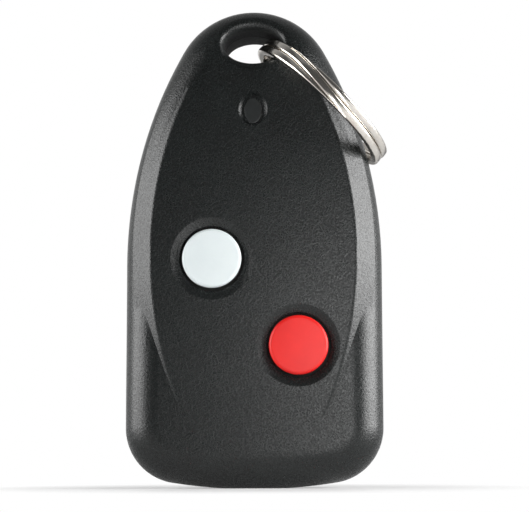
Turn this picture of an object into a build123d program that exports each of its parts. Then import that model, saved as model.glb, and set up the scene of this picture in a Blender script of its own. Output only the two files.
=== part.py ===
from build123d import *
import math
import os

# Key-fob remote transmitter, standing upright: X to the right, -Y to the front, +Z up.
# The origin is the middle of the small flat that it stands on. All lengths are in millimetres.

# Casing outline, as seen from the front
casing_width = 36.8
casing_height = 68.9
top_radius = 11.7
side_radius = 63.6
corner_radius = 7.9
bottom_radius = 75.0
stand_flat_depth = 0.15

# Casing thickness and walls
half_thickness = 6.4
front_rounding = 5.0
rear_rounding = 2.6
wall = 1.6
cavity_front_rounding = 3.4
cavity_rear_rounding = 1.2
seam_chamfer = 0.12
lip_height = 0.95
lip_width = 0.75
lip_clearance = 0.05

# Raised middle panel: the flanks beside it dip back and run out at both ends
panel_half_width = 14.55
panel_straight = (32.6, 33.4)
panel_upper_radius = 54.0
panel_lower_radius = 55.0
panel_ends = (6.5, 57.0)
panel_depth = 2.0
panel_wall_spread = 1.35
panel_edge_rounding = 0.7
flank_dip = 0.75
flank_dip_ends = (5.0, 57.0)

# Ring hole
hole_centre_z = 63.2
hole_half_width = 4.2
hole_half_height = 2.6
hole_lip_rounding = 1.0
hole_wall = 1.2

# Buttons
white_position = (-5.9, 32.4)
red_position = (6.35, 20.1)
button_radius = 4.2
button_proud = 0.55
button_dome = 0.12
button_edge_rounding = 0.5
button_flange_radius = 5.3
button_flange_thickness = 0.75
button_flange_gap = 0.05
button_pocket_radius = 3.3
button_top_thickness = 1.2
button_stem_radius = 1.4
bore_radius = 4.65
countersink_radius = 5.85
countersink_depth = 0.5
guide_ring_radius = 5.5
guide_ring_width = 0.8
guide_ring_height = 1.4

# Indicator window and its light, a standard 3 mm one
window_z = 53.65
window_half_size = (1.3, 1.9)
dish_rise = 0.15
dish_half_size = (2.05, 2.35)
dish_floor_half_size = (1.6, 2.15)
dish_depth = 0.45
lens_clearance = 0.03
lens_sunk = 0.28
lens_edge_rounding = 0.15
lens_flange_width = 0.6
lens_flange_thickness = 0.4
light_radius = 1.5
light_flange_radius = 1.75
light_flange_thickness = 1.0
light_height = 5.0
light_leg_size = 0.5
light_leg_spacing = 2.54
light_leg_length = 2.0

# Split ring, wound from flat wire in two turns with a step-over between them
ring_outer_radius = 12.0
ring_wire_radial = 1.25
ring_wire_axial = 1.0
ring_wire_rounding = 0.3
ring_turn_gap = 0.45
ring_centre = (9.93, -0.05, 55.9)
ring_hang_angle = 43.6
ring_lean = 1.6
ring_step_angle = 263.0
ring_step_half = 16
ring_step_slices = 8
ring_point_spacing = 2
ring_point_reach = 8

# Shallow recess in the back for an adhesive pad or a clip
rear_pad_size = (25.0, 21.0)
rear_pad_z = 31.0
rear_pad_depth = 0.3
rear_pad_rounding = 2.5
rear_pad_spread = 0.3

# Circuit board with its loop antenna track
board_front_y = 0.8
board_thickness = 1.0
board_inset = 2.2
board_ends = (13.5, 57.4)
leg_hole_radius = 0.45
track_inset = 0.8
track_width = 1.0
track_thickness = 0.08
track_lowest = 38.0

# Screws and their bosses
screw_positions = ((0.0, 46.0), (-13.6, 16.2), (13.6, 16.2))
screw_radius = 1.05
screw_length = 7.0
screw_tip_length = 0.8
screw_head_radius = 1.9
screw_head_height = 1.3
screw_head_rounding = 0.6
screw_cross_width = 0.5
screw_cross_length = 2.2
screw_cross_depth = 0.8
counterbore_radius = 2.1
counterbore_depth = 2.0
screw_hole_radius = 1.2
pilot_radius = 1.06
pilot_depth = 3.2
front_boss_radius = 2.1
rear_boss_radius = 2.7
boss_rib_thickness = 1.0

# Battery, an 8 mm cylinder lying across the bottom, and its contacts
battery_z = 8.6
battery_y = 0.2
battery_radius = 3.95
battery_length = 28.2
battery_right = 15.6
battery_sleeve_thickness = 0.12
battery_sleeve_inset = 0.3
battery_end_thickness = 0.3
battery_end_radius = 2.2
battery_nub_length = 0.8
battery_nub_radius = 1.6
cradle_positions = (-8.0, 8.5)
cradle_thickness = 1.0
cradle_gap = 0.1
cradle_top = 13.0
cradle_inner_y = (-1.2, 1.6)
contact_thickness = 0.3
contact_half_height = 2.8
contact_half_depth = 2.6
contact_tab_top = 14.6
contact_tab_depth = 1.7
contact_pad_rear_y = -1.0
spring_radius = 2.3
spring_wire_radius = 0.25
spring_pitch = 1.1

# Push switches
switch_size = 6.0
switch_base_height = 3.2
switch_height = 4.3
switch_cover_thickness = 0.2
switch_claw_width = 1.6
switch_claw_length = 2.0
switch_peg_radius = 0.4
switch_peg_spacing = 4.6
switch_pocket_radius = 2.45
switch_pocket_floor = 1.5
switch_leg_width = 0.7
switch_leg_thickness = 0.25
switch_leg_spacing = 4.5
switch_leg_reach = 3.5
switch_leg_length = 1.8
plunger_radius = 1.75
plunger_flange_radius = 2.2
plunger_flange_thickness = 0.7
plunger_clearance = 0.05
plunger_nose_radius = 0.6
plunger_nose_length = 0.45
dome_radius = 2.1
dome_thickness = 0.1
dome_gap = 0.03
button_to_plunger_gap = 0.02

# Small parts on the board
encoder_position = (5.5, 33.0)
encoder_size = (7.5, 12.8, 2.3)
encoder_standoff = 0.1
encoder_chamfer = 0.25
encoder_legs_per_side = 10
encoder_leg_pitch = 1.27
encoder_leg_width = 0.42
encoder_leg_thickness = 0.2
encoder_leg_reach = 1.4
resonator_position = (7.8, 36.5)
resonator_radius = 4.2
resonator_flange_radius = 4.6
resonator_flange_thickness = 0.4
resonator_height = 3.2
resonator_rounding = 0.4
transistor_position = (5.6, 46.0)
transistor_size = (2.9, 1.3, 1.0)
transistor_chamfer = 0.15
transistor_leg_size = (0.4, 0.5, 0.15)
transistor_leg_spacing = 1.9
coil_position = (-6.6, 44.5)
coil_radius = 1.5
coil_wire_radius = 0.25
coil_pitch = 0.95
coil_turns = 4
chip_size = (1.6, 0.8, 0.45)
resistor_positions = ((-10.6, 41.0), (-10.6, 43.2), (10.6, 44.4), (10.6, 46.6), (3.4, 51.4))
capacitor_positions = ((-4.6, 50.4), (-7.4, 50.4), (8.4, 29.0), (11.2, 29.0))
capacitor_height = 0.8

front_face_y = -half_thickness
rear_face_y = half_thickness
front_inner_y = front_face_y + wall
rear_inner_y = rear_face_y - wall
board_rear_y = board_front_y + board_thickness
plunger_tip_y = board_front_y - switch_height
counterbore_floor_y = rear_face_y - counterbore_depth
battery_left = battery_right - battery_length
contact_outer_x = battery_right + contact_thickness
far = 100.0
overshoot = 1.0
edge_tolerance = 0.01


# A drawing plane in front view: local x is X and local y is Z
def front_view(y):
    return Plane(origin=(0, y, 0), x_dir=(1, 0, 0), z_dir=(0, -1, 0))


# A front-view sketch as a solid between two depths
def slab(sketch, rear_y, front_y):
    return extrude(front_view(rear_y) * sketch, amount=rear_y - front_y)


def post(position, radius, rear_y, front_y):
    return slab(Pos(*position) * Circle(radius), rear_y, front_y)


# A flaring hole between two sketches at different depths
def flare(rear_sketch, rear_y, front_sketch, front_y):
    return loft([front_view(rear_y) * rear_sketch, front_view(front_y) * front_sketch], ruled=True)


def block(x_range, y_range, z_range):
    low = Vector(x_range[0], y_range[0], z_range[0])
    size = Vector(x_range[1], y_range[1], z_range[1]) - low
    return Pos(*(low + size * 0.5)) * Box(size.X, size.Y, size.Z)


# A profile of radius and depth, turned about the Y axis
def turned_part(edges):
    return revolve(make_face(edges), Axis.Y)


def edges_at_depth(solid, y):
    return solid.edges().filter_by_position(Axis.Y, y - edge_tolerance, y + edge_tolerance)


# The casing outline, made of arcs that meet tangentially, drawn a distance inside the outer edge
def outline(inset=0.0):
    half_width = casing_width / 2
    corner_x = half_width - corner_radius
    bottom_centre_z = bottom_radius - stand_flat_depth
    bottom_half_angle = math.degrees(math.asin(corner_x / (bottom_radius - corner_radius)))
    corner_z = bottom_centre_z - math.sqrt((bottom_radius - corner_radius) ** 2 - corner_x ** 2)
    top_centre_z = casing_height - top_radius
    side_centre_x = side_radius - half_width
    side_rise = math.sqrt((side_radius - top_radius) ** 2 - side_centre_x ** 2)
    side_z = top_centre_z - side_rise
    side_angle = math.degrees(math.atan2(side_rise, side_centre_x))
    edge_x = half_width - inset
    bottom = bottom_radius - inset
    corner = corner_radius - inset
    side = side_radius - inset
    corner_arc = 90 - bottom_half_angle
    return make_face(
        [
            CenterArc((0, bottom_centre_z), bottom, -90 - bottom_half_angle, 2 * bottom_half_angle),
            CenterArc((corner_x, corner_z), corner, -corner_arc, corner_arc),
            Line((edge_x, corner_z), (edge_x, side_z)),
            CenterArc((-side_centre_x, side_z), side, 0, side_angle),
            CenterArc((0, top_centre_z), top_radius - inset, side_angle, 180 - 2 * side_angle),
            CenterArc((side_centre_x, side_z), side, 180 - side_angle, side_angle),
            Line((-edge_x, side_z), (-edge_x, corner_z)),
            CenterArc((-corner_x, corner_z), corner, 180, corner_arc),
        ]
    )


# The raised panel's outline, drawn a distance outside its top edge
def panel_outline(spread=0.0):
    bottom, top = panel_ends
    low, high = panel_straight
    half_width = panel_half_width + spread
    upper = panel_upper_radius + spread
    lower = panel_lower_radius + spread
    upper_angle = math.degrees(math.asin((top - high) / upper))
    lower_angle = math.degrees(math.asin((low - bottom) / lower))
    upper_x = panel_half_width - panel_upper_radius
    lower_x = panel_half_width - panel_lower_radius
    top_x = upper_x + upper * math.cos(math.radians(upper_angle))
    bottom_x = lower_x + lower * math.cos(math.radians(lower_angle))
    return make_face(
        [
            CenterArc((lower_x, low), lower, -lower_angle, lower_angle),
            Line((half_width, low), (half_width, high)),
            CenterArc((upper_x, high), upper, 0, upper_angle),
            Line((top_x, top), (-top_x, top)),
            CenterArc((-upper_x, high), upper, 180 - upper_angle, upper_angle),
            Line((-half_width, high), (-half_width, low)),
            CenterArc((-lower_x, low), lower, 180, lower_angle),
            Line((-bottom_x, bottom), (bottom_x, bottom)),
        ]
    )


# What the flanks lose: an S-shaped dip seen from the side, tangent to the face at both ends
def flank_recess():
    low, high = flank_dip_ends
    quarter = (high - low) / 4
    radius = (quarter ** 2 + (flank_dip / 2) ** 2) / flank_dip
    angle = math.degrees(math.asin(quarter / radius))
    start = (front_face_y, low)
    run_in = JernArc(start, (0, 1), radius, -angle)
    trough = JernArc(run_in @ 1, run_in % 1, radius, 2 * angle)
    run_out = JernArc(trough @ 1, trough % 1, radius, -angle)
    profile = make_face([run_in, trough, run_out, Line(run_out @ 1, start)])
    return extrude(Plane.YZ * profile, amount=casing_width, both=True)


def raised_panel():
    base_y = front_face_y + panel_depth
    base_outline = panel_outline(panel_depth * panel_wall_spread)
    panel = flare(base_outline, base_y, panel_outline(), front_face_y)
    side_edges = [edge for edge in edges_at_depth(panel, front_face_y) if abs(edge.center().X) > 1]
    return fillet(side_edges, panel_edge_rounding)


# True for the straight lines across the front, where the flank's arcs meet
def runs_across(edge):
    return edge.geom_type == GeomType.LINE and abs((edge % 0.5).X) > 0.99


# True for an edge along the mouth of the ring hole
def rims_hole(edge):
    middle = edge @ 0.5
    reach = math.hypot(middle.X / hole_half_width, (middle.Z - hole_centre_z) / hole_half_height)
    return abs(reach - 1) < 2 * edge_tolerance and abs(middle.Y) > half_thickness / 2


# The whole outside of the casing as one solid, with the ring hole through it
def casing_body():
    body = slab(outline(), rear_face_y, front_face_y) - flank_recess()
    body = fillet(edges_at_depth(body, rear_face_y), rear_rounding)
    dip_y = front_face_y + flank_dip + edge_tolerance
    front_edges = body.edges().filter_by_position(Axis.Y, front_face_y - edge_tolerance, dip_y)
    body = fillet([edge for edge in front_edges if not runs_across(edge)], front_rounding)
    body = body + raised_panel()
    hole = Pos(0, hole_centre_z) * Ellipse(hole_half_width, hole_half_height)
    body = body - slab(hole, far, -far)
    body = fillet([edge for edge in body.edges() if rims_hole(edge)], hole_lip_rounding)
    return body - block((-far, far), (-far, far), (-far, 0))


# The hollow inside both covers, which leaves a solid lug round the ring hole
def casing_hollow():
    hollow = slab(outline(wall), rear_inner_y, front_inner_y)
    hollow = fillet(edges_at_depth(hollow, front_inner_y), cavity_front_rounding)
    hollow = fillet(edges_at_depth(hollow, rear_inner_y), cavity_rear_rounding)
    lug = Ellipse(hole_half_width + hole_wall, hole_half_height + hole_wall)
    lug_top = Pos(0, top_radius / 2) * Rectangle(casing_width, top_radius)
    return hollow - slab(Pos(0, hole_centre_z) * (lug + lug_top), far, -far)


def front_half():
    return block((-far, far), (-far, 0), (-far, far))


def rear_half():
    return block((-far, far), (0, far), (-far, far))


def battery_cylinder(radius, left, right):
    axis_end = Plane(origin=(left, battery_y, battery_z), z_dir=(1, 0, 0))
    return extrude(axis_end * Circle(radius), amount=right - left)


# Ribs that hold the battery between two depths, with room for it cut out
def cradle_ribs(y_range):
    room = battery_radius + battery_sleeve_thickness + cradle_gap
    clearance = battery_cylinder(room, -casing_width / 2, casing_width / 2)
    ribs = Part()
    for x in cradle_positions:
        ribs += block((x - cradle_thickness / 2, x + cradle_thickness / 2), y_range, (0, cradle_top))
    return ribs - clearance


# Ribs that tie the two lower screw bosses to the side walls between two depths
def boss_ribs(y_range):
    ribs = Part()
    for x, z in screw_positions[1:]:
        edge_x = math.copysign(casing_width / 2, x)
        z_range = (z - boss_rib_thickness / 2, z + boss_rib_thickness / 2)
        ribs += block(sorted((x, edge_x)), y_range, z_range)
    return ribs


# Pads on the side walls behind the two battery contacts
def contact_pads():
    z_range = (battery_z - contact_half_height / 2, battery_z + contact_half_height / 2)
    right_pad = block((contact_outer_x, casing_width / 2), (front_face_y, contact_pad_rear_y), z_range)
    return right_pad + mirror(right_pad, Plane.YZ)


def guide_ring(position):
    rear_y = front_inner_y + guide_ring_height
    outer = post(position, guide_ring_radius + guide_ring_width, rear_y, front_face_y)
    return outer - post(position, guide_ring_radius, far, -far)


def button_bore(position):
    place = Pos(*position)
    floor_y = front_face_y + countersink_depth
    rim = place * Circle(countersink_radius)
    countersink = flare(place * Circle(bore_radius), floor_y, rim, front_face_y)
    return post(position, bore_radius, front_inner_y + overshoot, front_face_y - overshoot) + countersink


def window_cut():
    window = Pos(0, window_z) * Ellipse(*window_half_size)
    floor = Pos(0, window_z + dish_rise) * Ellipse(*dish_floor_half_size)
    rim = Pos(0, window_z + dish_rise) * Ellipse(*dish_half_size)
    dish = flare(floor, front_face_y + dish_depth, rim, front_face_y)
    return slab(window, front_inner_y + overshoot, front_face_y - overshoot) + dish


def front_cover(body, hollow):
    cover = body & front_half()
    cover = chamfer(edges_at_depth(cover, 0), seam_chamfer)
    room = hollow & front_half()
    for position in (white_position, red_position):
        room -= guide_ring(position)
    room -= cradle_ribs((front_face_y, cradle_inner_y[0]))
    room -= boss_ribs((front_face_y, cradle_inner_y[0]))
    room -= contact_pads()
    for position in screw_positions:
        room -= post(position, front_boss_radius, far, -far)
    cover -= room
    groove = outline(wall - lip_width - lip_clearance) - outline(wall + lip_clearance)
    cover -= slab(groove, overshoot, -lip_height - lip_clearance)
    for position in screw_positions:
        cover += post(position, front_boss_radius, board_front_y, front_inner_y)
        cover -= post(position, pilot_radius, far, -pilot_depth)
    for position in (white_position, red_position):
        cover -= button_bore(position)
    return cover - window_cut()


# The recess in the back, with sides that slope out to its rim
def rear_pad_recess():
    width, height = rear_pad_size
    place = Pos(0, rear_pad_z)
    floor = place * RectangleRounded(width, height, rear_pad_rounding)
    rim_rounding = rear_pad_rounding + rear_pad_spread
    rim = place * RectangleRounded(width + 2 * rear_pad_spread, height + 2 * rear_pad_spread, rim_rounding)
    return flare(rim, rear_face_y, floor, rear_face_y - rear_pad_depth)


def rear_cover(body, hollow):
    cover = body & rear_half()
    cover = chamfer(edges_at_depth(cover, 0), seam_chamfer)
    room = hollow & rear_half()
    room -= cradle_ribs((cradle_inner_y[1], rear_face_y))
    room -= boss_ribs((board_rear_y, rear_face_y))
    for position in screw_positions:
        room -= post(position, rear_boss_radius, rear_face_y, board_rear_y)
    cover -= room
    cover -= rear_pad_recess()
    lip = outline(wall - lip_width) - outline(wall)
    cover += slab(lip, wall, -lip_height)
    for position in screw_positions:
        cover -= post(position, counterbore_radius, far, counterbore_floor_y)
        cover -= post(position, screw_hole_radius, far, -far)
    return cover


# The three cover screws, driven in from the rear
def cover_screws():
    head_top_y = counterbore_floor_y + screw_head_height
    tip_y = counterbore_floor_y - screw_length
    head = post((0, 0), screw_head_radius, head_top_y, counterbore_floor_y)
    head = fillet(edges_at_depth(head, head_top_y), screw_head_rounding)
    shank = post((0, 0), screw_radius, counterbore_floor_y, tip_y)
    shank = chamfer(edges_at_depth(shank, tip_y), screw_tip_length, screw_radius / 2)
    slot = Rectangle(screw_cross_width, screw_cross_length)
    cross = slot + Rectangle(screw_cross_length, screw_cross_width)
    screw = head + shank - slab(cross, far, head_top_y - screw_cross_depth)
    return [Pos(x, 0, z) * screw for x, z in screw_positions]


# A push button: domed cap, flange behind the cover's wall, and a stem on the switch
def button(position):
    apex_y = front_face_y - button_proud
    edge_y = apex_y + button_dome
    flange_front_y = front_inner_y + button_flange_gap
    flange_rear_y = flange_front_y + button_flange_thickness
    pocket_y = apex_y + button_top_thickness
    stem_y = plunger_tip_y - button_to_plunger_gap
    crown = ThreePointArc((0, apex_y), (button_radius / 2, apex_y + button_dome / 4), (button_radius, edge_y))
    rest = Polyline(
        (button_radius, edge_y),
        (button_radius, flange_front_y),
        (button_flange_radius, flange_front_y),
        (button_flange_radius, flange_rear_y),
        (button_pocket_radius, flange_rear_y),
        (button_pocket_radius, pocket_y),
        (button_stem_radius, pocket_y),
        (button_stem_radius, stem_y),
        (0, stem_y),
        (0, apex_y),
    )
    cap = turned_part([crown, rest])
    cap = fillet(edges_at_depth(cap, edge_y), button_edge_rounding)
    return Pos(position[0], 0, position[1]) * cap


# The smoked window in front of the indicator light, held by its flange from inside
def led_lens():
    half_width, half_height = window_half_size
    plug = Ellipse(half_width - lens_clearance, half_height - lens_clearance)
    flange = Ellipse(half_width + lens_flange_width, half_height + lens_flange_width)
    front_y = front_face_y + lens_sunk
    lens = slab(plug, front_inner_y, front_y)
    lens = fillet(edges_at_depth(lens, front_y), lens_edge_rounding)
    lens += slab(flange, front_inner_y + lens_flange_thickness, front_inner_y)
    return Pos(0, 0, window_z) * lens


def indicator_led():
    dome_y = board_front_y - light_height + light_radius
    profile = [
        Line((0, board_front_y), (light_flange_radius, board_front_y)),
        Polyline(
            (light_flange_radius, board_front_y),
            (light_flange_radius, board_front_y - light_flange_thickness),
            (light_radius, board_front_y - light_flange_thickness),
            (light_radius, dome_y),
        ),
        CenterArc((0, dome_y), light_radius, 0, -90),
        Line((0, dome_y - light_radius), (0, board_front_y)),
    ]
    return Pos(0, 0, window_z) * turned_part(profile)


# Where the light's two legs go through the board
def light_leg_positions():
    return [(side * light_leg_spacing / 2, window_z) for side in (-1, 1)]


def led_leads():
    leg = slab(Rectangle(light_leg_size, light_leg_size), board_front_y + light_leg_length, board_front_y)
    return [Pos(x, 0, z) * leg for x, z in light_leg_positions()]


# How far the wire's middle stands along the ring's axis after it has turned this many degrees
def ring_offset(turned):
    along_step = (turned - 360 + ring_step_half) / (2 * ring_step_half)
    along_step = min(max(along_step, 0), 1)
    return (ring_wire_axial + ring_turn_gap) / 2 * math.cos(math.pi * along_step)


# The wire's two sides along the axis; its ends are cut back beside the step-over
def ring_sides(turned):
    half = ring_wire_axial / 2
    low = ring_offset(turned) - half
    high = ring_offset(turned) + half
    if turned < ring_step_half:
        low = ring_offset(turned + 360) + half + ring_turn_gap
    if turned > 720 - ring_step_half:
        high = ring_offset(turned - 360) - half - ring_turn_gap
    return low, high


def ring_direction(turned):
    angle = math.radians(ring_step_angle + turned)
    return Vector(math.cos(angle), math.sin(angle), 0)


def ring_section(turned):
    low, high = ring_sides(turned)
    outward = ring_direction(turned)
    middle = outward * (ring_outer_radius - ring_wire_radial / 2) + Vector(0, 0, (low + high) / 2)
    rounding = min(ring_wire_rounding, 0.4 * (high - low))
    plane = Plane(origin=middle, x_dir=outward, z_dir=outward.cross(Vector(0, 0, 1)))
    return plane * RectangleRounded(ring_wire_radial, high - low, rounding)


def ring_loft(start, end, slices):
    step = (end - start) / slices
    return loft([ring_section(start + index * step) for index in range(slices + 1)])


def ring_turn(start, end):
    return revolve(ring_section(start), Axis.Z, end - start)


# One unbroken wire: two flat turns, the step-over between them and the two tapered ends
def wound_ring():
    half = ring_step_half
    first_turn = ring_turn(half, 360 - half)
    second_turn = ring_turn(360 + half, 720 - half)
    step_over = ring_loft(360 - half, 360 + half, ring_step_slices)
    first_end = ring_loft(0, half, ring_step_slices // 2)
    last_end = ring_loft(720 - half, 720, ring_step_slices // 2)
    return first_end + first_turn + step_over + second_turn + last_end


# Points on the wire's two sides where it has turned this far
def ring_points(turned):
    outward = ring_direction(turned)
    inner = ring_outer_radius - ring_wire_radial + ring_wire_rounding
    outer = ring_outer_radius - ring_wire_rounding
    points = []
    for height in ring_sides(turned):
        for radius in (inner, (inner + outer) / 2, outer):
            points.append(outward * radius + Vector(0, 0, height))
    return points


# The least distance between the wire and itself one turn on, measured on points
def ring_least_gap():
    least = far
    for turned in range(0, 361, ring_point_spacing):
        here = ring_points(turned)
        first = max(turned + 360 - ring_point_reach, 360 - ring_step_half)
        last = min(turned + 360 + ring_point_reach, 720)
        for other in range(first, last + 1, ring_point_spacing):
            if other - turned < 360 - 2 * ring_step_half:
                continue
            for point in here:
                for other_point in ring_points(other):
                    least = min(least, (point - other_point).length)
    return least


# The ring as it hangs on the right shoulder, leaning forward a little
def split_ring():
    angle = math.radians(ring_hang_angle)
    hang = (math.cos(angle), 0, -math.sin(angle))
    plane = Plane(origin=ring_centre, x_dir=hang, z_dir=(math.sin(angle), 0, math.cos(angle)))
    return plane.location * Rot(X=-ring_lean) * wound_ring()


# The board's outline, drawn a distance inside its edge
def board_outline(inset=0.0):
    low = board_ends[0] + inset
    high = board_ends[1] - inset
    band = Pos(0, (low + high) / 2) * Rectangle(casing_width, high - low)
    return outline(board_inset + inset) & band


# Where the legs of a switch at this position go through the board
def switch_leg_positions(position):
    reach = switch_leg_reach - switch_leg_thickness / 2
    corners = []
    for side in (-1, 1):
        for end in (-1, 1):
            corners.append((position[0] + side * reach, position[1] + end * switch_leg_spacing / 2))
    return corners


def circuit_board():
    board = slab(board_outline(), board_rear_y, board_front_y)
    for position in screw_positions:
        board -= post(position, screw_hole_radius, far, -far)
    leg_holes = light_leg_positions()
    leg_holes += switch_leg_positions(white_position)
    leg_holes += switch_leg_positions(red_position)
    for position in leg_holes:
        board -= post(position, leg_hole_radius, far, -far)
    return board


def antenna_trace():
    loop = board_outline(track_inset) - board_outline(track_inset + track_width)
    upper_part = Pos(0, track_lowest + far / 2) * Rectangle(far, far)
    return slab(loop & upper_part, board_front_y, board_front_y - track_thickness)


# A part of the given width, height and thickness on the board's front
def front_chip(position, size):
    return slab(Pos(*position) * Rectangle(size[0], size[1]), board_front_y, board_front_y - size[2])


def encoder_chip():
    width, height, thickness = encoder_size
    front_y = board_rear_y + encoder_standoff
    chip = slab(Rectangle(width, height), front_y + thickness, front_y)
    chip = chamfer(edges_at_depth(chip, front_y + thickness), encoder_chamfer)
    return Pos(encoder_position[0], 0, encoder_position[1]) * chip


# Two rows of bent legs from the encoder's long sides down to the board's rear
def encoder_leads():
    width, height, thickness = encoder_size
    shoulder_y = board_rear_y + encoder_standoff + thickness / 2
    bend_x = width / 2 + encoder_leg_reach / 3
    foot_x = width / 2 + encoder_leg_reach
    path = Polyline(
        (width / 2, shoulder_y),
        (bend_x, shoulder_y),
        (bend_x, board_rear_y),
        (foot_x, board_rear_y),
        (foot_x, board_rear_y + encoder_leg_thickness),
        (bend_x + encoder_leg_thickness, board_rear_y + encoder_leg_thickness),
        (bend_x + encoder_leg_thickness, shoulder_y + encoder_leg_thickness),
        (width / 2, shoulder_y + encoder_leg_thickness),
        close=True,
    )
    leg = extrude(Plane.XY * make_face(path), amount=encoder_leg_width / 2, both=True)
    legs = []
    for index in range(encoder_legs_per_side):
        z = encoder_position[1] + (index - (encoder_legs_per_side - 1) / 2) * encoder_leg_pitch
        for turn in (0, 180):
            lead = leg if turn == 0 else mirror(leg, Plane.YZ)
            legs.append(Pos(encoder_position[0], 0, z) * lead)
    return legs


def saw_resonator():
    flange_y = board_front_y - resonator_flange_thickness
    top_y = board_front_y - resonator_height
    can = post(resonator_position, resonator_radius, flange_y, top_y)
    can = fillet(edges_at_depth(can, top_y), resonator_rounding)
    return can + post(resonator_position, resonator_flange_radius, board_front_y, flange_y)


def rf_transistor():
    body = front_chip(transistor_position, transistor_size)
    return chamfer(edges_at_depth(body, board_front_y - transistor_size[2]), transistor_chamfer)


# Two legs below the transistor and one above
def rf_transistor_leads():
    x, z = transistor_position
    reach = (transistor_size[1] + transistor_leg_size[1]) / 2
    side = transistor_leg_spacing / 2
    spots = [(x - side, z - reach), (x + side, z - reach), (x, z + reach)]
    return [front_chip(spot, transistor_leg_size) for spot in spots]


# A close helix of wire along X
def wire_helix(left, y, z, radius, wire_radius, pitch, turns):
    path = Helix(pitch, pitch * turns, radius, center=(left, y, z), direction=(1, 0, 0))
    start = Plane(origin=path @ 0, z_dir=path % 0)
    return sweep(start * Circle(wire_radius), path, is_frenet=True)


def rf_coil():
    x, z = coil_position
    y = board_front_y - coil_radius - coil_wire_radius
    left = x - coil_pitch * coil_turns / 2
    return wire_helix(left, y, z, coil_radius, coil_wire_radius, coil_pitch, coil_turns)


def chip_resistors():
    return [front_chip(position, chip_size) for position in resistor_positions]


def chip_capacitors():
    size = (chip_size[0], chip_size[1], capacitor_height)
    return [front_chip(position, size) for position in capacitor_positions]


# The moulded base of a push switch with its round pocket and four pegs
def switch_base():
    top_y = board_front_y - switch_base_height
    base = slab(Rectangle(switch_size, switch_size), board_front_y, top_y)
    base -= post((0, 0), switch_pocket_radius, board_front_y - switch_pocket_floor, top_y - overshoot)
    for x in (-switch_peg_spacing / 2, switch_peg_spacing / 2):
        for z in (-switch_peg_spacing / 2, switch_peg_spacing / 2):
            base += post((x, z), switch_peg_radius, top_y, top_y - switch_cover_thickness)
    return base


# The sheet-metal cover of a push switch, with a claw down each of two sides
def switch_cover():
    rear_y = board_front_y - switch_base_height
    front_y = rear_y - switch_cover_thickness
    edge_z = switch_size / 2 + switch_cover_thickness
    plate = slab(Rectangle(switch_size, 2 * edge_z), rear_y, front_y)
    plate -= post((0, 0), plunger_radius + plunger_clearance, rear_y, front_y)
    for x in (-switch_peg_spacing / 2, switch_peg_spacing / 2):
        for z in (-switch_peg_spacing / 2, switch_peg_spacing / 2):
            plate -= post((x, z), switch_peg_radius, rear_y, front_y)
    for z_range in ((switch_size / 2, edge_z), (-edge_z, -switch_size / 2)):
        y_range = (front_y, front_y + switch_claw_length)
        plate += block((-switch_claw_width / 2, switch_claw_width / 2), y_range, z_range)
    return plate


# The part of a push switch that the button's stem presses
def switch_plunger():
    flange_y = board_front_y - switch_base_height + plunger_clearance
    nose_y = flange_y + plunger_flange_thickness
    plunger = post((0, 0), plunger_radius, flange_y, plunger_tip_y)
    plunger += post((0, 0), plunger_flange_radius, nose_y, flange_y)
    return plunger + post((0, 0), plunger_nose_radius, nose_y + plunger_nose_length, nose_y)


# The springy metal dome under a switch's plunger
def switch_dome():
    floor_y = board_front_y - switch_pocket_floor
    nose_y = board_front_y - switch_base_height + plunger_clearance + plunger_flange_thickness
    apex_y = nose_y + plunger_nose_length + dome_gap
    rise = floor_y - apex_y
    inner_radius = dome_radius - dome_thickness
    outer_arc = ThreePointArc((0, apex_y), (dome_radius / 2, apex_y + rise / 4), (dome_radius, floor_y))
    inner_arc = ThreePointArc(
        (0, apex_y + dome_thickness),
        (inner_radius / 2, apex_y + dome_thickness + (rise - dome_thickness) / 4),
        (inner_radius, floor_y),
    )
    foot = Line((inner_radius, floor_y), (dome_radius, floor_y))
    middle = Line((0, apex_y), (0, apex_y + dome_thickness))
    return turned_part([outer_arc, inner_arc, foot, middle])


# Four legs of a push switch, bent down through the board
def switch_terminals():
    arm_y = board_front_y - switch_leg_width
    legs = []
    for x, z in switch_leg_positions((0, 0)):
        z_range = (z - switch_leg_width / 2, z + switch_leg_width / 2)
        inner_x = math.copysign(switch_size / 2, x)
        outer_x = math.copysign(switch_leg_reach, x)
        bend_x = math.copysign(switch_leg_reach - switch_leg_thickness, x)
        arm = block(sorted((inner_x, outer_x)), (arm_y, arm_y + switch_leg_thickness), z_range)
        leg = block(sorted((bend_x, outer_x)), (arm_y, board_rear_y + switch_leg_length / 2), z_range)
        legs.append(arm + leg)
    return legs


def battery_can():
    return battery_cylinder(battery_radius, battery_left, battery_cap_left() - battery_end_thickness)


def battery_cap_left():
    return battery_right - battery_nub_length - battery_end_thickness


def battery_sleeve():
    left = battery_left + battery_sleeve_inset
    right = battery_cap_left()
    outer = battery_cylinder(battery_radius + battery_sleeve_thickness, left, right)
    return outer - battery_cylinder(battery_radius, left, right)


def battery_cap():
    left = battery_cap_left() - battery_end_thickness
    disc = battery_cylinder(battery_end_radius, left, battery_cap_left() + battery_end_thickness)
    return disc + battery_cylinder(battery_nub_radius, left, battery_right)


def battery_insulator():
    left = battery_cap_left() - battery_end_thickness
    washer = battery_cylinder(battery_radius, left, battery_cap_left())
    return washer - battery_cylinder(battery_end_radius, left, battery_cap_left())


# The flat part of a battery contact on the right, with a tab up to the board
def contact_plate():
    x_range = (battery_right, contact_outer_x)
    z_top = battery_z + contact_half_height
    y_range = (-contact_half_depth, contact_half_depth)
    plate = block(x_range, y_range, (battery_z - contact_half_height, z_top))
    tab_y_range = (board_front_y - contact_tab_depth, board_front_y)
    return plate + block(x_range, tab_y_range, (z_top, contact_tab_top))


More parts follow.
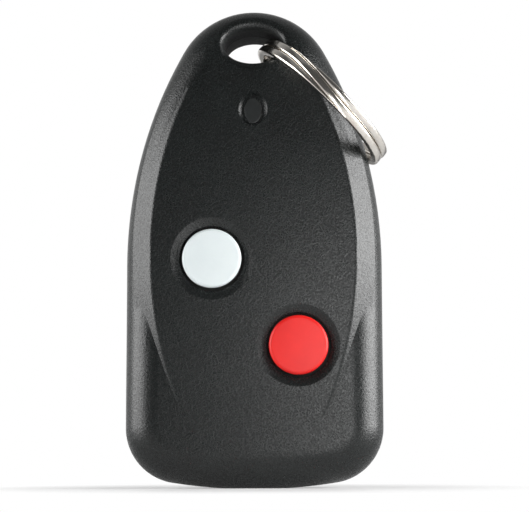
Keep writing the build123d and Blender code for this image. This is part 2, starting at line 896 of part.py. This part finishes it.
def spring_contact():
    spring_left = -battery_right
    spring_length = battery_left - spring_wire_radius - spring_left
    turns = spring_length / spring_pitch
    place = (spring_left, battery_y, battery_z)
    coil = wire_helix(*place, spring_radius, spring_wire_radius, spring_pitch, turns)
    return mirror(contact_plate(), Plane.YZ) + coil


def place_switch(position, pieces):
    return [Pos(position[0], 0, position[1]) * piece for piece in pieces]


def all_parts():
    body = casing_body()
    hollow = casing_hollow()
    parts = {
        "front_cover": [front_cover(body, hollow)],
        "rear_cover": [rear_cover(body, hollow)],
        "cover_screws": cover_screws(),
        "white_button": [button(white_position)],
        "red_button": [button(red_position)],
        "led_lens": [led_lens()],
        "indicator_led": [indicator_led()],
        "led_leads": led_leads(),
        "split_ring": [split_ring()],
        "circuit_board": [circuit_board()],
        "antenna_trace": [antenna_trace()],
        "encoder_chip": [encoder_chip()],
        "encoder_leads": encoder_leads(),
        "saw_resonator": [saw_resonator()],
        "rf_transistor": [rf_transistor()],
        "rf_transistor_leads": rf_transistor_leads(),
        "rf_coil": [rf_coil()],
        "chip_resistors": chip_resistors(),
        "chip_capacitors": chip_capacitors(),
        "battery_can": [battery_can()],
        "battery_sleeve": [battery_sleeve()],
        "battery_cap": [battery_cap()],
        "battery_insulator": [battery_insulator()],
        "plate_contact": [contact_plate()],
        "spring_contact": [spring_contact()],
    }
    for colour, position in (("white", white_position), ("red", red_position)):
        parts[f"{colour}_switch_base"] = place_switch(position, [switch_base()])
        parts[f"{colour}_switch_cover"] = place_switch(position, [switch_cover()])
        parts[f"{colour}_switch_plunger"] = place_switch(position, [switch_plunger()])
        parts[f"{colour}_switch_dome"] = place_switch(position, [switch_dome()])
        parts[f"{colour}_switch_terminals"] = place_switch(position, switch_terminals())
    return parts


if __name__ == "__main__":
    os.makedirs("parts", exist_ok=True)
    for name, pieces in all_parts().items():
        shape = pieces[0] if len(pieces) == 1 else Compound(children=pieces)
        export_step(shape, f"parts/{name}.step")
    print("split ring: least gap between its turns", round(ring_least_gap(), 3), "mm")
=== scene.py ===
import math

import bpy
from mathutils import Matrix, Vector


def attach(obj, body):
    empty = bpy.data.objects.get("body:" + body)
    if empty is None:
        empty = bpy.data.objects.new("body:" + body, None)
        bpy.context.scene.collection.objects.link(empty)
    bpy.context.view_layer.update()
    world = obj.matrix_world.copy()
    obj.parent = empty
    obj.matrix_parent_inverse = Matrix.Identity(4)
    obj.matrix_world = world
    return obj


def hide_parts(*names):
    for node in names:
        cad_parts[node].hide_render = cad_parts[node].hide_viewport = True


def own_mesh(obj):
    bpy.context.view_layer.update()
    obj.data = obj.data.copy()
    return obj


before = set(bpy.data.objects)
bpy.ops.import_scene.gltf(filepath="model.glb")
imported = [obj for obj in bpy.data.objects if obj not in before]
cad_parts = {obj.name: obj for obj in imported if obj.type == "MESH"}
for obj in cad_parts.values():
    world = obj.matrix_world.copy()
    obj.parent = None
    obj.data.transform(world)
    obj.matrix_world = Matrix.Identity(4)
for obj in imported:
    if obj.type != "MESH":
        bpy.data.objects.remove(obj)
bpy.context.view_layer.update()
mm = 0.001  # the frame is in metres
print("frame loaded,", len(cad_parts), "nodes")


# A shader socket that can stand in an expression: every operator adds a Math node
class Wire:
    def __init__(self, finish, socket):
        self.finish = finish
        self.socket = socket

    def maths(self, operation, *values):
        return self.finish.node("Math", {"operation": operation}, dict(enumerate(values)))

    def __add__(self, other):
        return self.maths("ADD", self, other)

    def __radd__(self, other):
        return self.maths("ADD", other, self)

    def __sub__(self, other):
        return self.maths("SUBTRACT", self, other)

    def __rsub__(self, other):
        return self.maths("SUBTRACT", other, self)

    def __mul__(self, other):
        return self.maths("MULTIPLY", self, other)

    def __rmul__(self, other):
        return self.maths("MULTIPLY", other, self)


# A material or a world, with its node tree
class Finish:
    def __init__(self, name, world=None):
        self.home = world or bpy.data.materials.new(name)
        self.home.use_nodes = True
        self.tree = self.home.node_tree
        self.tree.nodes.clear()
        self.place = self.node("TexCoord", output="Generated" if world else "Object")

    # Adds a node: its settings first, then the values or links of its sockets
    def node(self, kind, settings=None, sockets=None, output=0):
        made = self.tree.nodes.new("ShaderNode" + kind)
        for name, value in (settings or {}).items():
            setattr(made, name, value)
        for name, value in (sockets or {}).items():
            if isinstance(value, Wire):
                self.tree.links.new(value.socket, made.inputs[name])
            else:
                made.inputs[name].default_value = value
        return Wire(self, made.outputs[output]) if made.outputs else made

    # The piece's own coordinates, stretched along some axes
    def stretched(self, stretch):
        if stretch == (1, 1, 1):
            return self.place
        return self.node("VectorMath", {"operation": "MULTIPLY"}, {0: self.place, 1: stretch})

    # Noise from 0 to 1, its grain in millimetres
    def noise(self, grain, detail, roughness, stretch=(1, 1, 1)):
        sockets = {"Vector": self.stretched(stretch), "Scale": 1 / (grain * mm)}
        return self.node("TexNoise", {}, {**sockets, "Detail": detail, "Roughness": roughness})

    # Distance to the nearest of scattered points, their spacing in millimetres
    def cells(self, grain):
        return self.node("TexVoronoi", {"feature": "F1"}, {"Vector": self.place, "Scale": 1 / (grain * mm)})

    # Parallel waves across an axis, from one crest to the next in millimetres
    def waves(self, axis, pitch, distortion=0.0):
        sockets = {"Vector": self.place, "Scale": math.pi / (10 * pitch * mm), "Distortion": distortion}
        return self.node("TexWave", {"bands_direction": axis}, sockets, output=1)

    # A value carried from one range to another, and held at both ends
    def ranged(self, value, low, high, toLow=0.0, toHigh=1.0):
        sockets = {"Value": value, "From Min": low, "From Max": high, "To Min": toLow, "To Max": toHigh}
        return self.node("MapRange", {"clamp": True}, sockets)

    # One colour going over into another as the factor goes from 0 to 1
    def mixed(self, factor, first, second):
        shades = [(*shade, 1) if isinstance(shade, tuple) else shade for shade in (first, second)]
        return self.node("Mix", {"data_type": "RGBA"}, {0: factor, 6: shades[0], 7: shades[1]}, output=2)

    # Relief of this depth in millimetres, on top of another one if given
    def relief(self, height, depth, under=None):
        sockets = {"Height": height, "Distance": depth * mm, "Strength": 1.0}
        if under:
            sockets["Normal"] = under
        return self.node("Bump", {}, sockets)

    # The rays that are shown a white studio: the camera's, and those in metal and glass
    def seenRays(self):
        names = ("Is Camera Ray", "Is Glossy Ray", "Is Transmission Ray")
        return [self.node("LightPath", output=name) for name in names]

    # The Principled shader with these sockets, sent to the output
    def surface(self, sockets):
        return self.show(self.node("BsdfPrincipled", {}, sockets))

    # Sends a shader to the output and hands back the material or the world
    def show(self, shader, output="OutputMaterial"):
        self.node(output, {}, {"Surface": shader})
        return self.home


# Gives CAD nodes a material through their objects' own slots
def dress(material, *nodeNames):
    for nodeName in nodeNames:
        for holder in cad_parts[nodeName].material_slots:
            holder.link = "OBJECT"
            holder.material = material


# Camera, fitted to the photograph, in millimetres, degrees and pixels
view = {
    "place": (6.67, -268.0, 4.57),
    "pitch": 6.134,  # how far it looks up
    "turn": 1.113,
    "roll": -0.17,
    "focal": 1859.5,  # in pixels of the image
    "imageWidth": 529,
    "sensor": 36.0,
    "nearest": 10.0,  # nothing closer to it is drawn
}


def makeCamera():
    optics = bpy.data.cameras.new("camera")
    optics.sensor_width = view["sensor"]
    optics.lens = view["focal"] * view["sensor"] / view["imageWidth"]
    optics.clip_start = view["nearest"] * mm
    camera = bpy.data.objects.new("camera", optics)
    turn = Matrix.Rotation(math.radians(view["turn"]), 4, "Z")
    pitch = Matrix.Rotation(math.radians(90 + view["pitch"]), 4, "X")
    roll = Matrix.Rotation(math.radians(view["roll"]), 4, "Z")
    camera.matrix_world = Matrix.Translation(Vector(view["place"]) * mm) @ turn @ pitch @ roll
    bpy.context.scene.collection.objects.link(camera)
    bpy.context.scene.camera = camera


makeCamera()
print("camera done")


# Casing: black moulded plastic with a spark-eroded grain, rubbed smoother in patches, in millimetres
casing = {
    "nodes": ("front_cover", "rear_cover"),
    "hollow": (0.0002, 0.0002, 0.0002),
    "crest": (0.0135, 0.0162, 0.016),
    "grain": 0.3,
    "grainDepth": 0.018,
    "pitShare": 0.55,  # of the grain's height, the rest is softer lumps
    "fineGrain": 0.1,
    "fineDepth": 0.003,
    "patches": 8.0,
    "patchShare": 0.25,  # of the colour, the rest follows the grain's height
    "roughness": (0.22, 0.34),  # on the crests, in the hollows
    "fineRoughness": 0.06,
    "rubbedSmoother": 0.04,
    "ior": 1.47,
    # the ring hole's wall, which its core pin leaves dull
    "holeCentre": (0.0, 0.0, 63.2),
    "holeHalfSize": (4.2, 2.6),
    "holeEdge": (1.02, 1.12),  # where the dull part ends, in half sizes
    "holeRoughness": 0.5,
}


# 1 on the ring hole's wall and 0 on the faces round it
def holeWall(finish):
    centre = Vector(casing["holeCentre"]) * mm
    halfWidth, halfHeight = [mm * half for half in casing["holeHalfSize"]]
    offset = finish.node("VectorMath", {"operation": "SUBTRACT"}, {0: finish.place, 1: centre})
    perHalf = (1 / halfWidth, 0, 1 / halfHeight)
    scaled = finish.node("VectorMath", {"operation": "MULTIPLY"}, {0: offset, 1: perHalf})
    reach = finish.node("VectorMath", {"operation": "LENGTH"}, {0: scaled}, output=1)
    return finish.ranged(reach, *casing["holeEdge"], 1.0, 0.0)


def casingPlastic():
    finish = Finish("casingPlastic")
    lumps = finish.ranged(finish.noise(casing["grain"], detail=3.0, roughness=0.75), 0.42, 0.58)
    pits = finish.ranged(finish.cells(casing["grain"]), 0.1, 0.7)
    height = lumps * (1 - casing["pitShare"]) + pits * casing["pitShare"]
    fine = finish.noise(casing["fineGrain"], detail=2.0, roughness=0.6)
    rubbed = finish.ranged(finish.noise(casing["patches"], detail=3.0, roughness=0.6), 0.42, 0.7)
    shade = height * (1 - casing["patchShare"]) + rubbed * casing["patchShare"]
    onCrests, inHollows = casing["roughness"]
    grained = finish.ranged(height, 0.25, 0.75, inHollows, onCrests) + fine * casing["fineRoughness"]
    rough = grained - rubbed * casing["rubbedSmoother"] + holeWall(finish) * casing["holeRoughness"]
    return finish.surface(
        {
            "Base Color": finish.mixed(shade, casing["hollow"], casing["crest"]),
            "Roughness": rough,
            "Normal": finish.relief(height, casing["grainDepth"], finish.relief(fine, casing["fineDepth"])),
            "IOR": casing["ior"],
        }
    )


dress(casingPlastic(), *casing["nodes"])
print("casing done")


# Buttons: satin moulded caps with a faint flow pattern, in millimetres
buttons = {
    "caps": {
        "white_button": {
            "material": "whitePlastic",
            "main": (0.72, 0.78, 0.785),
            "shade": (0.69, 0.75, 0.76),
            "roughness": (0.31, 0.4),
        },
        "red_button": {
            "material": "redPlastic",
            "main": (0.77, 0.011, 0.008),
            "shade": (0.7, 0.008, 0.006),
            "roughness": (0.39, 0.48),
        },
    },
    "flow": 3.0,
    "waviness": 0.6,
    "wavinessDepth": 0.004,
    "skin": 0.11,
    "skinDepth": 0.0015,
    # below the casing's face the sides of the cap and its flange are darkened with painted shade, the
    # shadow in the gap round the cap
    "gapShadeDepths": (-6.36, -6.12),
    "gapShadeColour": (0.012, 0.012, 0.012),
    "gapShadeRoughness": 0.3,
}


def buttonPlastic(look):
    finish = Finish(look["material"])
    depth = finish.node("SeparateXYZ", {}, {0: finish.place}, output=1)
    # painted shade: 0 above the casing's face, 1 deeper down, where the cap's sides and flange are darkened
    # as if in the gap's shadow
    gapShaded = finish.ranged(depth, *[mm * edge for edge in buttons["gapShadeDepths"]])
    flow = finish.ranged(finish.noise(buttons["flow"], detail=3.0, roughness=0.5), 0.3, 0.7)
    clean = finish.mixed(flow, look["shade"], look["main"])
    skin = finish.noise(buttons["skin"], detail=2.0, roughness=0.5)
    wavy = finish.noise(buttons["waviness"], detail=1.0, roughness=0.5)
    rough = finish.ranged(skin, 0.3, 0.7, *look["roughness"])
    grained = finish.relief(skin, buttons["skinDepth"])
    return finish.surface(
        {
            # painted shade: below the casing's face the cap's colour goes over into near black
            "Base Color": finish.mixed(gapShaded, clean, buttons["gapShadeColour"]),
            "Roughness": rough + gapShaded * buttons["gapShadeRoughness"],
            "Normal": finish.relief(wavy, buttons["wavinessDepth"], grained),
        }
    )


for nodeName, look in buttons["caps"].items():
    dress(buttonPlastic(look), nodeName)
print("buttons done")


# Indicator window: smoked acrylic with hairline scuffs, in millimetres
window = {
    "nodes": ("led_lens",),
    "tint": (0.02, 0.022, 0.022),
    "scuffed": (0.04, 0.042, 0.042),
    "roughness": (0.12, 0.2),
    "scuffRoughness": 0.12,
    "scuffs": 0.5,
    "scuffStretch": (6, 6, 0.4),
    "haze": 0.8,
    "hazeDepth": 0.004,
}


def smokedLens():
    finish = Finish("smokedLens")
    lines = finish.noise(window["scuffs"], detail=3.0, roughness=0.7, stretch=window["scuffStretch"])
    scuffs = finish.ranged(lines, 0.62, 0.75)
    haze = finish.noise(window["haze"], detail=2.0, roughness=0.5)
    rough = finish.ranged(haze, 0.3, 0.7, *window["roughness"])
    return finish.surface(
        {
            "Base Color": finish.mixed(scuffs * 0.6 + haze * 0.4, window["tint"], window["scuffed"]),
            "Roughness": rough + scuffs * window["scuffRoughness"],
            "Normal": finish.relief(haze, window["hazeDepth"]),
        }
    )


dress(smokedLens(), *window["nodes"])
print("window done")


# Split ring: flat wire wound in two close turns, in millimetres and degrees
ring = {
    "node": "split_ring",
    "centre": (9.93, -0.05, 55.9),
    "hangAngle": 43.6,
    "lean": 1.6,
    "outerRadius": 11.98,
    "wireRadial": 1.25,
    "wireAxial": 1.19,
    "turnGap": 0.07,
    "stepAngle": 263.0,  # where the wire steps over from one turn to the other
    "stepHalf": 34.0,  # half of the angle that it takes
    "corner": 0.34,
    "thinCorner": 0.45,  # the largest corner where the wire is ground thin, as a share of its height there
    "cornerPoints": 5,
    "slices": 300,
    "tip": 0.05,  # how thick the ends run out
    "steel": (0.83, 0.8, 0.755),
    "stain": (0.5, 0.42, 0.32),
    "roughness": (0.1, 0.2),
    "stainRoughness": 0.08,
    "drawn": 0.09,
    "drawnStretch": (1, 0.35, 1),
    "drawnDepth": 0.0004,
    "patches": 1.8,
}
oneTurn = 360


# How far the wire's middle lies from the ring's middle, along the ring's axis
def ringOffset(turned):
    alongStep = min(max((turned - oneTurn + ring["stepHalf"]) / (2 * ring["stepHalf"]), 0), 1)
    return (ring["wireAxial"] + ring["turnGap"]) / 2 * math.cos(math.pi * alongStep)


# The wire's two sides along the ring's axis; its ends are ground thin along the step-over
def ringSides(turned):
    half = ring["wireAxial"] / 2
    low = ringOffset(turned) - half
    high = ringOffset(turned) + half
    if turned < ring["stepHalf"]:
        low = min(ringOffset(turned + oneTurn) + half + ring["turnGap"], high - ring["tip"])
    if turned > 2 * oneTurn - ring["stepHalf"]:
        high = max(ringOffset(turned - oneTurn) - half - ring["turnGap"], low + ring["tip"])
    return low, high


# The wire runs on past its two full turns, by half the step-over at each end
def turnedAt(index):
    return -ring["stepHalf"] + (2 * oneTurn + 2 * ring["stepHalf"]) * index / ring["slices"]


# A rounded rectangle round the wire's middle, as (outward, along the axis) pairs
def wireSection(turned):
    low, high = ringSides(turned)
    corner = min(ring["corner"], ring["thinCorner"] * (high - low))
    halfRadial = ring["wireRadial"] / 2
    section = []
    for quarter in range(4):
        signOut = (1, -1, -1, 1)[quarter]
        signUp = (1, 1, -1, -1)[quarter]
        for point in range(ring["cornerPoints"]):
            angle = math.radians(90 * (quarter + point / (ring["cornerPoints"] - 1)))
            outward = signOut * (halfRadial - corner) + corner * math.cos(angle)
            along = (low + high) / 2 + signUp * ((high - low) / 2 - corner) + corner * math.sin(angle)
            section.append((outward, along))
    return section


# From the flat ring to where it hangs
def ringPose():
    hang = Matrix.Rotation(math.radians(ring["hangAngle"]), 4, "Y")
    lean = Matrix.Rotation(math.radians(-ring["lean"]), 4, "X")
    return Matrix.Translation(Vector(ring["centre"])) @ hang @ lean


def ringSteel():
    finish = Finish("ringSteel")
    drawn = finish.noise(ring["drawn"], detail=2.0, roughness=0.6, stretch=ring["drawnStretch"])
    patches = finish.ranged(finish.noise(ring["patches"], detail=3.0, roughness=0.6), 0.5, 0.75)
    rough = finish.ranged(drawn, 0.3, 0.7, *ring["roughness"])
    return finish.surface(
        {
            "Base Color": finish.mixed(patches * 0.3 + drawn * 0.3, ring["steel"], ring["stain"]),
            "Metallic": 1.0,
            "Roughness": rough + patches * ring["stainRoughness"],
            "Normal": finish.relief(drawn, ring["drawnDepth"]),
        }
    )


def makeRing():
    middleRadius = ring["outerRadius"] - ring["wireRadial"] / 2
    pose = ringPose()
    points = []
    for index in range(ring["slices"] + 1):
        turned = turnedAt(index)
        angle = math.radians(ring["stepAngle"] + turned)
        for outward, along in wireSection(turned):
            radius = middleRadius + outward
            points.append(pose @ Vector((radius * math.cos(angle), radius * math.sin(angle), along)) * mm)
    around = 4 * ring["cornerPoints"]
    faces = []
    for index in range(ring["slices"]):
        for side in range(around):
            here = index * around + side
            beside = index * around + (side + 1) % around
            faces.append((here, beside, beside + around, here + around))
    faces.append(tuple(reversed(range(around))))
    faces.append(tuple(range(ring["slices"] * around, (ring["slices"] + 1) * around)))
    mesh = bpy.data.meshes.new("splitRing")
    mesh.from_pydata(points, [], faces)
    mesh.polygons.foreach_set("use_smooth", [len(face) == 4 for face in faces])
    mesh.materials.append(ringSteel())
    piece = bpy.data.objects.new("splitRing", mesh)
    bpy.context.scene.collection.objects.link(piece)
    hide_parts(ring["node"])
    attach(piece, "ring")


makeRing()
print("ring done")


# Bare and plated metals inside: two tones, a roughness range, and a grain and its relief in millimetres
metals = {
    "screwSteel": {
        "nodes": ("cover_screws",),
        "tones": ((0.34, 0.34, 0.33), (0.62, 0.62, 0.6)),
        "roughness": (0.24, 0.42),
        "grain": 0.12,
        "stretch": (1, 0.2, 1),
        "relief": 0.004,
    },
    "trackCopper": {
        "nodes": ("antenna_trace", "rf_coil"),
        "tones": ((0.62, 0.3, 0.14), (0.86, 0.5, 0.3)),
        "roughness": (0.22, 0.4),
        "grain": 0.3,
        "stretch": (1, 1, 1),
        "relief": 0.005,
    },
    "tinnedLeads": {
        "nodes": (
            "encoder_leads",
            "rf_transistor_leads",
            "led_leads",
            "white_switch_terminals",
            "red_switch_terminals",
        ),
        "tones": ((0.5, 0.5, 0.5), (0.76, 0.76, 0.77)),
        "roughness": (0.2, 0.38),
        "grain": 0.16,
        "stretch": (1, 0.4, 1),
        "relief": 0.004,
    },
    "resonatorCan": {
        "nodes": ("saw_resonator",),
        "tones": ((0.5, 0.47, 0.4), (0.72, 0.7, 0.64)),
        "roughness": (0.2, 0.36),
        "grain": 0.2,
        "stretch": (0.2, 1, 1),
        "relief": 0.003,
    },
    "switchSheet": {
        "nodes": ("white_switch_cover", "red_switch_cover"),
        "tones": ((0.46, 0.46, 0.46), (0.7, 0.7, 0.7)),
        "roughness": (0.26, 0.42),
        "grain": 0.14,
        "stretch": (0.15, 1, 1),
        "relief": 0.003,
    },
    "domeSteel": {
        "nodes": (),  # the snap domes below are dressed with it
        "tones": ((0.54, 0.51, 0.43), (0.78, 0.76, 0.68)),
        "roughness": (0.18, 0.32),
        "grain": 0.1,
        "stretch": (1, 1, 0.2),
        "relief": 0.002,
    },
    "batterySteel": {
        "nodes": ("battery_can", "battery_cap"),
        "tones": ((0.48, 0.48, 0.47), (0.72, 0.72, 0.71)),
        "roughness": (0.2, 0.36),
        "grain": 0.2,
        "stretch": (0.2, 1, 1),
        "relief": 0.003,
    },
    "contactSteel": {
        "nodes": ("spring_contact", "plate_contact"),
        "tones": ((0.52, 0.52, 0.5), (0.8, 0.8, 0.78)),
        "roughness": (0.16, 0.32),
        "grain": 0.12,
        "stretch": (1, 0.2, 1),
        "relief": 0.003,
    },
}
dulling = {"size": 2.2, "roughness": 0.1}  # patches of handled metal, in millimetres


def metal(name, look):
    finish = Finish(name)
    grain = finish.noise(look["grain"], detail=3.0, roughness=0.6, stretch=look["stretch"])
    drawn = finish.ranged(grain, 0.3, 0.7)
    dulled = finish.ranged(finish.noise(dulling["size"], detail=3.0, roughness=0.6), 0.45, 0.7)
    return finish.surface(
        {
            "Base Color": finish.mixed(drawn * 0.6 + (1 - dulled) * 0.4, *look["tones"]),
            "Metallic": 1.0,
            "Roughness": finish.ranged(drawn, 0, 1, *look["roughness"]) + dulled * dulling["roughness"],
            "Normal": finish.relief(drawn, look["relief"]),
        }
    )


metalsMade = {name: metal(name, look) for name, look in metals.items()}
for name, look in metals.items():
    dress(metalsMade[name], *look["nodes"])
print("metals done")


# Snap domes: copies of the switches' domes in dome steel, carried with the casing, in millimetres
domes = {
    # the node that each one stands for, and the joint of its button
    "pieces": {
        "whiteDome": ("white_switch_dome", "white_button_press"),
        "redDome": ("red_switch_dome", "red_button_press"),
    },
    "footDepth": -0.7,
    "keep": 0.45,
}


def makeDome(name, node):
    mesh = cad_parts[node].data.copy()
    mesh.materials.clear()
    mesh.materials.append(metalsMade["domeSteel"])
    piece = bpy.data.objects.new(name, mesh)
    bpy.context.scene.collection.objects.link(piece)
    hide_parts(node)
    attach(piece, "casing")
    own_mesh(piece)


for name, (node, joint) in domes["pieces"].items():
    makeDome(name, node)
print("domes done")


# Mouldings, ceramics and films inside: the same values, with the size of their blotches
mouldings = {
    "chipEpoxy": {
        "nodes": ("encoder_chip", "rf_transistor"),
        "tones": ((0.012, 0.012, 0.013), (0.03, 0.03, 0.031)),
        "roughness": (0.5, 0.68),
        "grain": 0.09,
        "blotch": 1.2,
        "relief": 0.008,
    },
    "resistorBody": {
        "nodes": ("chip_resistors",),
        "tones": ((0.01, 0.01, 0.014), (0.04, 0.04, 0.05)),
        "roughness": (0.3, 0.5),
        "grain": 0.14,
        "blotch": 0.9,
        "relief": 0.006,
    },
    "capacitorBody": {
        "nodes": ("chip_capacitors",),
        "tones": ((0.34, 0.23, 0.14), (0.5, 0.37, 0.26)),
        "roughness": (0.42, 0.6),
        "grain": 0.1,
        "blotch": 0.7,
        "relief": 0.006,
    },
    "switchMoulding": {
        "nodes": ("white_switch_base", "red_switch_base"),
        "tones": ((0.012, 0.012, 0.012), (0.03, 0.03, 0.03)),
        "roughness": (0.38, 0.55),
        "grain": 0.12,
        "blotch": 1.6,
        "relief": 0.006,
    },
    "plungerPlastic": {
        "nodes": ("white_switch_plunger", "red_switch_plunger"),
        "tones": ((0.03, 0.03, 0.03), (0.07, 0.07, 0.07)),
        "roughness": (0.3, 0.45),
        "grain": 0.12,
        "blotch": 1.2,
        "relief": 0.005,
    },
    "batteryWrap": {
        "nodes": ("battery_sleeve",),
        "tones": ((0.03, 0.06, 0.24), (0.06, 0.11, 0.36)),
        "roughness": (0.16, 0.3),
        "grain": 0.5,
        "blotch": 4.0,
        "relief": 0.01,
    },
    "batteryWasher": {
        "nodes": ("battery_insulator",),
        "tones": ((0.42, 0.39, 0.32), (0.58, 0.55, 0.47)),
        "roughness": (0.7, 0.85),
        "grain": 0.15,
        "blotch": 1.0,
        "relief": 0.012,
    },
    "ledEpoxy": {
        "nodes": ("indicator_led",),
        "tones": ((0.5, 0.012, 0.008), (0.78, 0.03, 0.02)),
        "roughness": (0.05, 0.12),
        "grain": 0.4,
        "blotch": 1.5,
        "relief": 0.002,
    },
}


def moulding(name, look):
    finish = Finish(name)
    skin = finish.ranged(finish.noise(look["grain"], detail=2.0, roughness=0.6), 0.3, 0.7)
    blotches = finish.ranged(finish.noise(look["blotch"], detail=3.0, roughness=0.55), 0.35, 0.7)
    return finish.surface(
        {
            "Base Color": finish.mixed(skin * 0.5 + blotches * 0.5, *look["tones"]),
            "Roughness": finish.ranged(skin, 0, 1, *look["roughness"]),
            "Normal": finish.relief(skin, look["relief"]),
        }
    )


for name, look in mouldings.items():
    dress(moulding(name, look), *look["nodes"])
print("mouldings done")


# Circuit board: green lacquer over woven glass, with fine tracks showing through, in millimetres
board = {
    "nodes": ("circuit_board",),
    "mask": (0.012, 0.1, 0.035),
    "track": (0.03, 0.2, 0.07),
    "weave": (0.02, 0.13, 0.05),
    "roughness": (0.22, 0.36),
    "lacquer": 0.7,
    "trackPitch": 1.1,
    "trackWander": 1.5,
    "trackReach": 5.0,
    "trackDepth": 0.03,
    "weavePitch": 0.45,
    "weaveDepth": 0.006,
}


def boardLaminate():
    finish = Finish("boardLaminate")
    weave = finish.waves("X", board["weavePitch"]) * finish.waves("Z", board["weavePitch"])
    columns = finish.ranged(finish.waves("X", board["trackPitch"], board["trackWander"]), 0.78, 0.84)
    reaches = finish.ranged(finish.noise(board["trackReach"], detail=1.0, roughness=0.4), 0.48, 0.52)
    tracks = columns * reaches
    ground = finish.mixed(weave * 0.6, board["mask"], board["weave"])
    lacquer = finish.noise(board["lacquer"], detail=2.0, roughness=0.5)
    return finish.surface(
        {
            "Base Color": finish.mixed(tracks, ground, board["track"]),
            "Roughness": finish.ranged(lacquer, 0.3, 0.7, *board["roughness"]),
            "Normal": finish.relief(tracks, board["trackDepth"], finish.relief(weave, board["weaveDepth"])),
        }
    )


dress(boardLaminate(), *board["nodes"])
print("board done")


# Studio: a pale floor, soft lamps and a white surround, in metres and watts
studio = {
    "floorHalf": 4.0,
    "floorTones": ((0.83, 0.83, 0.83), (0.86, 0.86, 0.86)),
    "floorFibres": 0.9,  # in millimetres
    "floorPaper": (0.43, 1.0),  # how white the floor is to the camera, near the object and far from it
    "floorFade": (0.02, 0.042),  # where it goes from near to far
    "floorMirrored": 0.1,  # how white it is in metal and glass
    "floorShine": 0.15,
    "shineRoughness": 0.2,
    "skyLight": 0.08,
    # the sky that metal and glass show: where it turns white towards the back, and how it dims overhead
    "skyDepths": (-0.15, 0.3),
    "skyBehind": 0.75,
    "skyHeights": (0.2, 0.75),
    "skyTop": 0.4,
    "aim": (0, 0, 0.035),  # what every lamp points at
    # place, width and height, watts
    "lamps": {
        "softboxRight": ((0.31, -0.055, 0.06), (0.27, 0.3), 2.75),
        "softboxLeft": ((-0.31, -0.06, 0.06), (0.27, 0.3), 1.6),
        "softboxTop": ((-0.05, -0.16, 0.4), (0.3, 0.3), 0.04),
        "sheenCard": ((0.022, -0.09, 0.022), (0.024, 0.05), 0.021),
    },
}
white = (1, 1, 1, 1)


# Near the object it keeps its shadow and a faint shine, further off it is as white as the surround
def paleFloor():
    finish = Finish("paleFloor")
    byCamera, byGloss, byGlass = finish.seenRays()
    distance = finish.node("VectorMath", {"operation": "LENGTH"}, {0: finish.place}, output=1)
    paper = finish.ranged(distance, *studio["floorFade"], *studio["floorPaper"])
    fibres = finish.ranged(finish.noise(studio["floorFibres"], detail=3.0, roughness=0.6), 0.3, 0.7)
    matt = finish.node("BsdfDiffuse", {}, {"Color": finish.mixed(fibres, *studio["floorTones"])})
    glow = finish.node("Emission", {}, {"Color": white, "Strength": 1.0})
    sheen = finish.node("BsdfGlossy", {}, {"Color": white, "Roughness": studio["shineRoughness"]})
    shown = byCamera * paper + (byGloss + byGlass) * studio["floorMirrored"]
    ground = finish.node("MixShader", {}, {0: shown, 1: matt, 2: glow})
    glossed = finish.ranged(distance, *studio["floorFade"], studio["floorShine"], 0.0) * byCamera
    return finish.show(finish.node("MixShader", {}, {0: glossed, 1: ground, 2: sheen}))


def makeFloor():
    half = studio["floorHalf"]
    corners = [(-half, -half, 0), (half, -half, 0), (half, half, 0), (-half, half, 0)]
    mesh = bpy.data.meshes.new("floor")
    mesh.from_pydata(corners, [], [(0, 1, 2, 3)])
    mesh.materials.append(paleFloor())
    floor = bpy.data.objects.new("floor", mesh)
    bpy.context.scene.collection.objects.link(floor)


# White for the camera all round, and behind the object for metal and glass; dim as a light
def makeSky():
    finish = Finish("studioSky", bpy.data.worlds.new("studioSky"))
    byCamera, byGloss, byGlass = finish.seenRays()
    depth = finish.node("SeparateXYZ", {}, {0: finish.place}, output=1)
    height = finish.node("SeparateXYZ", {}, {0: finish.place}, output=2)
    behind = finish.ranged(depth, *studio["skyDepths"], 0.0, studio["skyBehind"])
    overhead = finish.ranged(height, *studio["skyHeights"], 1.0, studio["skyTop"])
    shown = byCamera + (byGloss + byGlass) * (behind * overhead)
    dim = finish.node("Background", {}, {"Color": white, "Strength": studio["skyLight"]})
    bright = finish.node("Background", {}, {"Color": white, "Strength": 1.0})
    sky = finish.show(finish.node("MixShader", {}, {0: shown, 1: dim, 2: bright}), "OutputWorld")
    bpy.context.scene.world = sky


def makeLamp(name, place, size, watts):
    lamp = bpy.data.lights.new(name, "AREA")
    lamp.shape = "RECTANGLE"
    lamp.size, lamp.size_y = size
    lamp.energy = watts
    holder = bpy.data.objects.new(name, lamp)
    holder.location = place
    holder.rotation_euler = (Vector(studio["aim"]) - Vector(place)).to_track_quat("-Z", "Y").to_euler()
    holder.visible_camera = False
    bpy.context.scene.collection.objects.link(holder)


makeFloor()
makeSky()
for name, (place, size, watts) in studio["lamps"].items():
    makeLamp(name, place, size, watts)
bpy.context.scene.view_settings.view_transform = "Standard"
print("studio done")
